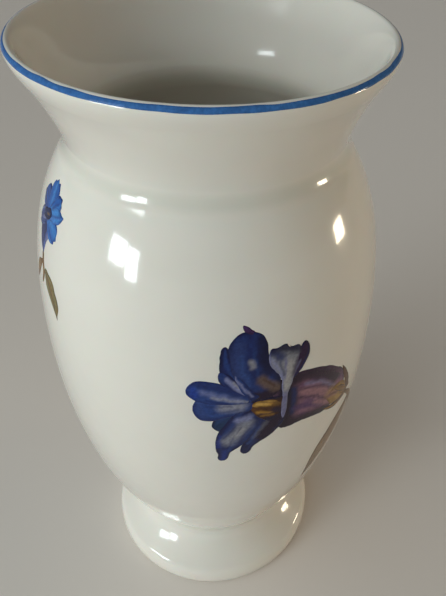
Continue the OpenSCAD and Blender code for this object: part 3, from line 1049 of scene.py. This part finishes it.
    def greenery(self) -> list[Petal]:
        """Calyx, stem and leaves in olive and brown."""
        vein = Hue.LEAF_DARK
        leaf, sepal = (Hue.LEAF, vein, Hue.OLIVE), (Hue.BROWN, Hue.UMBER, Hue.OLIVE)
        side_vein = (vein, 0.5, 0.6, 0.6)
        return [
            Petal("stem", [(58, 128), (64, 121), (69, 110), (72, 96), (73, 84)], [1.2, 1.4, 1.4, 1.3, 1],
                  leaf, seed=41, edge_mm=0.8),
            Petal("long_leaf", [(64, 120), (57.6, 109), (50.6, 96), (44, 79)], [1, 5.6, 6, 1.2], leaf,
                  1, 43, tip_round=0.3, marks=strokes(
                (vein, 0.9, 0.85, 0.7, (63, 119), (57, 108.5), (50.3, 95.5), (44.6, 81)),
                (*side_vein, (57, 110), (58.5, 104)), (*side_vein, (55.5, 108.5), (50.5, 107.5)),
                (*side_vein, (52, 102), (53.5, 96)), (*side_vein, (51, 100), (46, 97.5)),
                (*side_vein, (48.5, 95), (49.5, 89)))),
            Petal("short_leaf", [(72, 98), (80, 92), (88, 80), (90, 68)], [1, 5.2, 5, 1],
                  (Hue.LEAF, vein, Hue.SAGE), 1, 45, tip_round=0.3, marks=strokes(
                (vein, 0.8, 0.85, 0.7, (72, 98), (79.7, 92), (87.6, 80.2), (89.7, 70)),
                (*side_vein, (80, 91.5), (86, 91)), (*side_vein, (82, 88.5), (80.6, 83)))),
            Petal("calyx", [(44, 136), (50, 134), (57, 128)], [2.4, 5.6, 2.6],
                  (Hue.OLIVE, Hue.BROWN, Hue.LEAF), 1, 47, base_round=0.4, tip_round=0.3, marks=strokes(
                (Hue.MAUVE, 3, 0.6, 3, (45, 136.6), (50, 134.6)),
                (Hue.BROWN, 1, 0.6, 1, (46, 136), (51, 134), (56, 128.5)))),
            Petal("upper_sepal", [(59, 129), (56, 138), (51.5, 147.5)], [1.8, 1.4, 0.5], sepal,
                  2, 49, edge_mm=0.8),
            Petal("lower_sepal", [(58, 127.5), (50, 127), (43, 130)], [1.6, 1.5, 0.5], sepal,
                  2, 51, edge_mm=0.8),
            Petal("middle_sepal", [(58.5, 128.6), (52, 135), (47, 139)], [1.6, 1.6, 0.4],
                  (Hue.LEAF, Hue.UMBER, Hue.OLIVE), 3, 53, edge_mm=0.8)]

    def build(self) -> list[bpy.types.Object]:
        """Builds every petal and leaf and returns the pieces."""
        enamel = Enamel("petal_enamel").material()
        leaf = Enamel("leaf_enamel", mottle_mm=1.3).material()
        blossom = [*self.tube(), *self.upper_petals(), *self.left_petals(), *self.lower_petals(),
                   *self.throat(), *self.fan()]
        return ([p.build(self.shape, "bellflower", "petal_enamel", "bellflower_blossom", enamel)
                 for p in blossom]
                + [p.build(self.shape, "bellflower", "leaf_enamel", "bellflower_stem_and_leaves", leaf)
                   for p in self.greenery()])


@dataclass
class SmallFlower:
    """Small blue flower with six petals and a hanging bud, on a short stem with two leaves.

    It is drawn on the front, and moved round the vase to its own place.
    """

    shape: VaseShape
    name: str
    along: float
    seed: int
    enamel: bpy.types.Material
    leaf: bpy.types.Material

    def petals(self) -> list[Petal]:
        """The ground, the bud, then the petals and the eye."""
        bright, clear, eye = Hue.BRIGHT_BLUE, Hue.CLEAR_BLUE, Hue.EYE_BLUE
        petal = partial(Petal, tip_round=0.3, edge_mm=1.3, streak_mm=0.9, wander_mm=0.45, frill_mm=0.4,
                        frill_pitch_mm=2.7)
        drawn = [
            petal("ground", [(-6, 197.6), (0, 198.6), (5, 199)], [3, 5, 3.4],
                  (Hue.COBALT, Hue.NAVY, eye)),
            petal("bud", [(-1, 196), (-1.6, 191), (-1, 184.8)], [3.6, 4.8, 2.9, 0.9],
                  (Hue.NAVY, Hue.INK, Hue.COBALT), marks=strokes(
                (Hue.LAVENDER, 2.8, 0.8, 2.4, (3, 195), (2.4, 190), (1.2, 186.4)),
                (Hue.SKY, 0.6, 0.7, 0.9, (0.6, 193), (0, 187)))),
            petal("lower_left_petal", [(-1.5, 198), (-5.4, 196), (-8.6, 193.6)], [1.6, 3.6, 2.6],
                  (Hue.COBALT, Hue.NAVY, Hue.LAVENDER), 1),
            petal("left_petal", [(-1, 199.6), (-6, 202.4), (-10.6, 203.4)], [2, 3.6, 2],
                  (Hue.COBALT, Hue.NAVY, bright), 2,
                  marks=strokes((bright, 1.2, 0.8, 1.4, (-3, 201), (-8.6, 203)))),
            petal("top_petal", [(-0.6, 199.5), (-0.6, 204.6), (-0.4, 209.3)], [2.4, 4.3, 4],
                  (bright, Hue.COBALT, clear), 3,
                  marks=strokes((clear, 2.2, 0.7, 2.4, (-0.6, 203), (-0.8, 207.4)))),
            petal("upper_right_petal", [(0, 200), (4.2, 203.2), (7.2, 205.6)], [1.8, 3.1, 2.1],
                  (bright, Hue.NAVY, clear), 4,
                  marks=strokes((Hue.COBALT, 0.8, 0.8, 1, (2, 201.6), (6, 204.6)))),
            petal("lower_right_petal", [(0, 198), (4.6, 195.6), (8.2, 193.4)], [2.2, 4, 3.5],
                  (bright, Hue.COBALT, clear), 2, marks=strokes(
                (clear, 2.4, 0.9, 2.4, (3, 197.4), (7.4, 195.4)),
                (Hue.COBALT, 0.7, 0.7, 1, (2.4, 195), (6.6, 192.2)))),
            petal("right_petal", [(0, 199.2), (5.6, 200.6), (11, 201.8)], [1.8, 2.7, 1.1],
                  (clear, Hue.COBALT, Hue.SKY), 5,
                  marks=strokes((Hue.COBALT, 0.7, 0.7, 1, (3, 199.8), (9.4, 201.6)))),
            petal("eye", [(-5, 197.8), (-1, 198.8), (3, 199.6)], [1.3, 2.2, 1.2],
                  (eye, Hue.INK, Hue.NAVY), 6, frill_mm=0,
                  marks=strokes((Hue.OLIVE, 0.9, 0.4, 0.8, (-1.2, 198.6), (0.4, 199))))]
        return [p.moved(self.along, self.seed + 2 * number) for number, p in enumerate(drawn)]

    def stalk(self) -> list[Petal]:
        """The stem and its two leaves."""
        drawn = [
            Petal("stem_line", [(-1, 185.5), (-0.5, 182), (0.5, 178), (-1, 173)], [1, 1.2, 1.2, 0.8],
                  (Hue.LEAF, Hue.LEAF_DARK, Hue.SAGE), seed=21, edge_mm=0.7),
            Petal("long_leaf", [(2, 180.5), (5.5, 177), (9.5, 172), (11.3, 165)], [0.8, 3.4, 3, 0.8],
                  (Hue.SAGE, Hue.LEAF_DARK, Hue.LEAF), 1, 23, tip_round=0.3, edge_mm=1, marks=strokes(
                (Hue.LEAF_DARK, 0.7, 0.8, 0.6, (2, 180), (5.5, 176.8), (9.4, 171.8), (11.2, 166)))),
            Petal("short_leaf", [(-1, 182), (-5, 178), (-8, 171)], [0.6, 2, 0.6],
                  (Hue.LEAF, Hue.BROWN, Hue.SAGE), 1, 25, edge_mm=0.9)]
        return [p.moved(self.along, self.seed) for p in drawn]

    def build(self) -> list[bpy.types.Object]:
        """Builds the flower and its stem and returns the pieces."""
        return ([p.build(self.shape, self.name, "small_petal_enamel", self.name, self.enamel)
                 for p in self.petals()]
                + [p.build(self.shape, self.name, "leaf_enamel", f"{self.name}_stem", self.leaf)
                   for p in self.stalk()])


# ---------- floor, light, camera ----------


@dataclass(frozen=True)
class Backdrop:
    """Plain matt paper floor: pale, with a fine tooth that keeps it from looking digital."""

    tooth_mm: float = 1.2
    roughness: float = 0.9

    def material(self) -> bpy.types.Material:
        """Builds the material and returns it."""
        s = Shader("paper_floor")
        place = s.add("ShaderNodeTexCoord").outputs["Object"]
        tooth = s.add("ShaderNodeTexNoise", Vector=place, Scale=1 / (self.tooth_mm * MM), Detail=2.0)
        bump = s.add("ShaderNodeBump", Strength=0.15, Distance=0.0002, Height=tooth.outputs["Fac"])
        return s.finish(s.add("ShaderNodeBsdfPrincipled", Base_Color=rgba(Hue.FLOOR),
                              Roughness=self.roughness, Normal=bump.outputs[0]))


@dataclass
class Window:
    """Bright rectangular pane, aimed at a point on the vase, that shows in the glaze."""

    name: str
    toward: tuple[float, float, float]
    turn: float
    rise: float
    distance: float
    width: float
    height: float
    power: float
    colour: tuple[float, float, float]
    spread: float = 70.0
    aim: tuple[float, float, float] = (0, 0, 0.17)

    def build(self) -> bpy.types.Object:
        """Places the light facing the aim, turned sideways and raised by turn and rise degrees.

        Returns:
            The light.
        """
        data = bpy.data.lights.new(self.name, "AREA")
        data.shape = "RECTANGLE"
        data.size, data.size_y = self.width, self.height
        data.energy, data.color = self.power, self.colour
        data.spread = math.radians(self.spread)
        flat = Matrix.Rotation(math.radians(self.turn), 3, "Z") @ Vector(self.toward).normalized()
        rise = math.radians(self.rise)
        way = flat * math.cos(rise) + Vector((0, 0, math.sin(rise)))
        light = bpy.data.objects.new(self.name, data)
        light.matrix_world = (Matrix.Translation(Vector(self.aim) + way * self.distance)
                              @ way.to_track_quat("Z", "Y").to_matrix().to_4x4())
        light.visible_camera = False
        bpy.context.scene.collection.objects.link(light)
        return light


@dataclass
class Daylight:
    """Even, wide light from far away, which lights the floor out to its edge without glints."""

    name: str
    toward: tuple[float, float, float]
    rise: float
    spread: float
    strength: float
    colour: tuple[float, float, float]

    def build(self) -> bpy.types.Object:
        """Makes the light, raised by rise degrees and spread degrees wide, and returns it."""
        data = bpy.data.lights.new(self.name, "SUN")
        data.angle, data.energy, data.color = math.radians(self.spread), self.strength, self.colour
        rise = math.radians(self.rise)
        way = Vector(self.toward).normalized() * math.cos(rise) + Vector((0, 0, math.sin(rise)))
        light = bpy.data.objects.new(self.name, data)
        light.matrix_world = way.to_track_quat("Z", "Y").to_matrix().to_4x4()
        light.visible_glossy = False
        bpy.context.scene.collection.objects.link(light)
        return light


@dataclass
class Studio:
    """Floor, world, window lights and camera."""

    floor_half: float = 12.0
    floor_gap: float = 0.0002
    clip: tuple[float, float] = (0.01, 50.0)
    world_strength: float = 0.07
    wall_strength: float = 0.46
    world_colour: tuple[float, float, float] = (0.96, 0.97, 1.0)
    focal_mm: float = 38.658
    sensor_mm: float = 36.0
    shift: tuple[float, float] = (-0.06665, -0.02608)
    eye_mm: tuple[float, float, float] = (0.0, -197.68, 312.93)
    pitch: float = 39.462
    yaw: float = 5.986
    roll: float = 2.873
    windows: list[Window] = field(default_factory=lambda: [
        Window("left_pane_a", (-0.80, -0.58, 0.0), 7.0, 2.4, 1.3, 0.17, 0.34, 0.36, COOL_DAY),
        Window("left_pane_b", (-0.80, -0.58, 0.0), -3.2, 5.2, 1.3, 0.25, 0.28, 0.42, COOL_DAY),
        Window("left_transom", (-0.80, -0.58, 0.0), 0.0, 27.2, 1.3, 0.30, 0.08, 0.094, COOL_DAY),
        Window("right_pane", (1.0, 0.0, 0.0), -0.5, -3.0, 1.3, 0.20, 0.18, 0.33, WARM_DAY)])
    daylight: list[Daylight] = field(default_factory=lambda: [
        Daylight("left_soft", (-0.70, -0.50, 0.0), 38.0, 70.0, 0.94, (0.90, 0.985, 1.0)),
        Daylight("left_side", (-0.80, -0.58, 0.0), 14.0, 40.0, 0.32, COOL_DAY),
        Daylight("right_side", (1.0, 0.0, 0.0), 14.0, 40.0, 0.36, WARM_DAY),
        Daylight("left_back", (-0.80, 0.60, 0.0), 20.0, 50.0, 0.34, COOL_DAY),
        Daylight("right_back", (0.80, 0.60, 0.0), 20.0, 50.0, 0.26, WARM_DAY)])

    def floor(self) -> None:
        """Lays the pale floor just under the standing ring."""
        half, z = self.floor_half, -self.floor_gap
        mesh = bpy.data.meshes.new("floor")
        mesh.from_pydata([(-half, -half, z), (half, -half, z), (half, half, z), (-half, half, z)],
                         [], [(0, 1, 2, 3)])
        mesh.materials.append(Backdrop().material())
        floor = bpy.data.objects.new("floor", mesh)
        bpy.context.scene.collection.objects.link(floor)

    def world(self) -> None:
        """Gives a plain pale wall behind the floor, and a weaker room light from all round."""
        world = bpy.data.worlds.new("soft_room")
        world.use_nodes = True
        sky = world.node_tree.nodes["Background"]
        path = world.node_tree.nodes.new("ShaderNodeLightPath")
        strength = world.node_tree.nodes.new("ShaderNodeMapRange")
        strength.inputs["To Min"].default_value = self.world_strength
        strength.inputs["To Max"].default_value = self.wall_strength
        world.node_tree.links.new(path.outputs["Is Camera Ray"], strength.inputs["Value"])
        world.node_tree.links.new(strength.outputs["Result"], sky.inputs["Strength"])
        sky.inputs["Color"].default_value = (*self.world_colour, 1.0)
        bpy.context.scene.world = world
        bpy.context.scene.view_settings.view_transform = "Standard"

    def camera(self) -> None:
        """Sets the camera above the front of the vase, looking down into it, slightly rolled."""
        pitch, yaw, roll = (math.radians(v) for v in (self.pitch, self.yaw, self.roll))
        ahead = Vector((math.sin(yaw) * math.cos(pitch), math.cos(yaw) * math.cos(pitch),
                        -math.sin(pitch)))
        right = Vector((math.cos(yaw), -math.sin(yaw), 0))
        up = right.cross(ahead)
        side = right * math.cos(roll) + up * math.sin(roll)
        top = up * math.cos(roll) - right * math.sin(roll)
        data = bpy.data.cameras.new("camera")
        data.sensor_width, data.lens = self.sensor_mm, self.focal_mm
        data.shift_x, data.shift_y = self.shift
        data.clip_start, data.clip_end = self.clip
        camera = bpy.data.objects.new("camera", data)
        turn = Matrix((side, top, -ahead)).transposed().to_4x4()
        camera.matrix_world = Matrix.Translation(Vector(self.eye_mm) * MM) @ turn
        bpy.context.scene.collection.objects.link(camera)
        bpy.context.scene.camera = camera

    def build(self) -> None:
        """Sets up the whole studio."""
        self.floor()
        self.world()
        self.camera()
        for light in [*self.windows, *self.daylight]:
            light.build()


def main() -> None:
    """Builds the vase, its transfers and the studio."""
    logging.basicConfig(level=logging.INFO, format="%(name)s: %(message)s")
    Studio().build()
    shape = VaseShape()
    Porcelain(shape).build()
    RimLine(shape).build()
    Bellflower(shape).build()
    small = Enamel("small_petal_enamel").material()
    leaf = Enamel("small_leaf_enamel", mottle_mm=1.1).material()
    SmallFlower(shape, "side_flower", -71.5, 61, small, leaf).build()
    SmallFlower(shape, "back_flower", 192.1, 161, small, leaf).build()


if __name__ == "__main__":
    main()
